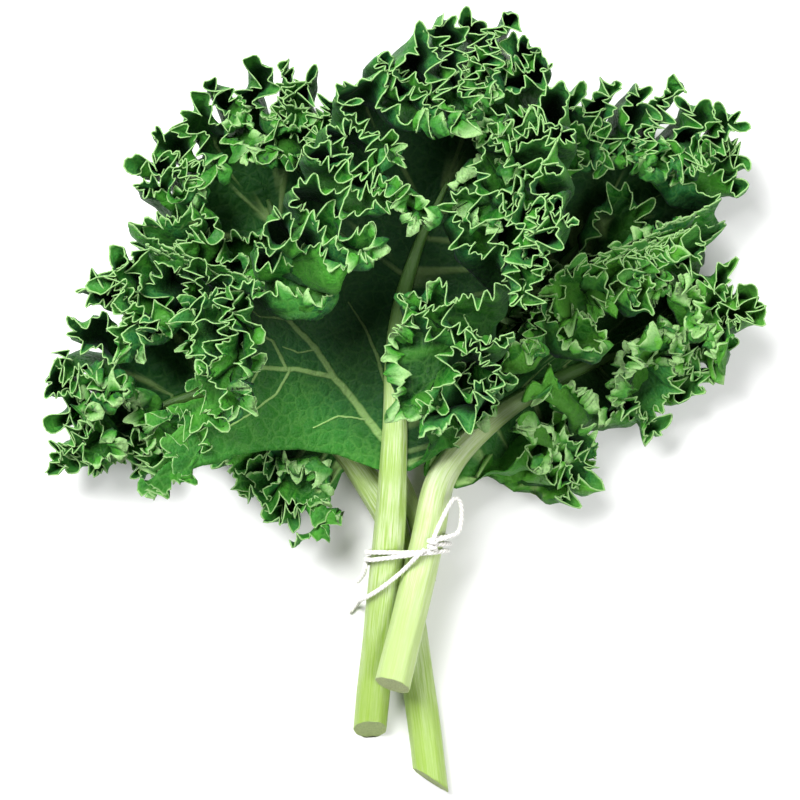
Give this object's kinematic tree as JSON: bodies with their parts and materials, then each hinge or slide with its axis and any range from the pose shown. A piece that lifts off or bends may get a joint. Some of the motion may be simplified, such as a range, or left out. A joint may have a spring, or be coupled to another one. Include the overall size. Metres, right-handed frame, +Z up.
{
  "type": "curly kale bunch",
  "caption": "Bunch of curly kale lying on its side, with densely ruffled leaves, pale stalks cut at the ends and a white string tied round them.",
  "frame": {"origin": "on the table, under the middle of the bunch's box", "axes": "+Y from the cut stalk ends towards the leaf tips, +Z up from the table, +X to the right seen from above"},
  "size_m": [0.355, 0.3818, 0.126],
  "materials": {
    "leaf": "satin plant leaf",
    "stalk": "smooth moist plant stalk",
    "string": "matt cotton"
  },
  "bodies": {
    "root": {"stalk_top": "stalk", "stalk_left": "stalk", "stalk_upper_left": "stalk", "stalk_upper_right": "stalk", "stalk_right": "stalk", "blade_top": "leaf", "blade_left": "leaf", "blade_upper_left": "leaf", "blade_upper_right": "leaf", "blade_right": "leaf", "tie_string": "string", "string_tail": "string"}
  },
  "joints": []
}
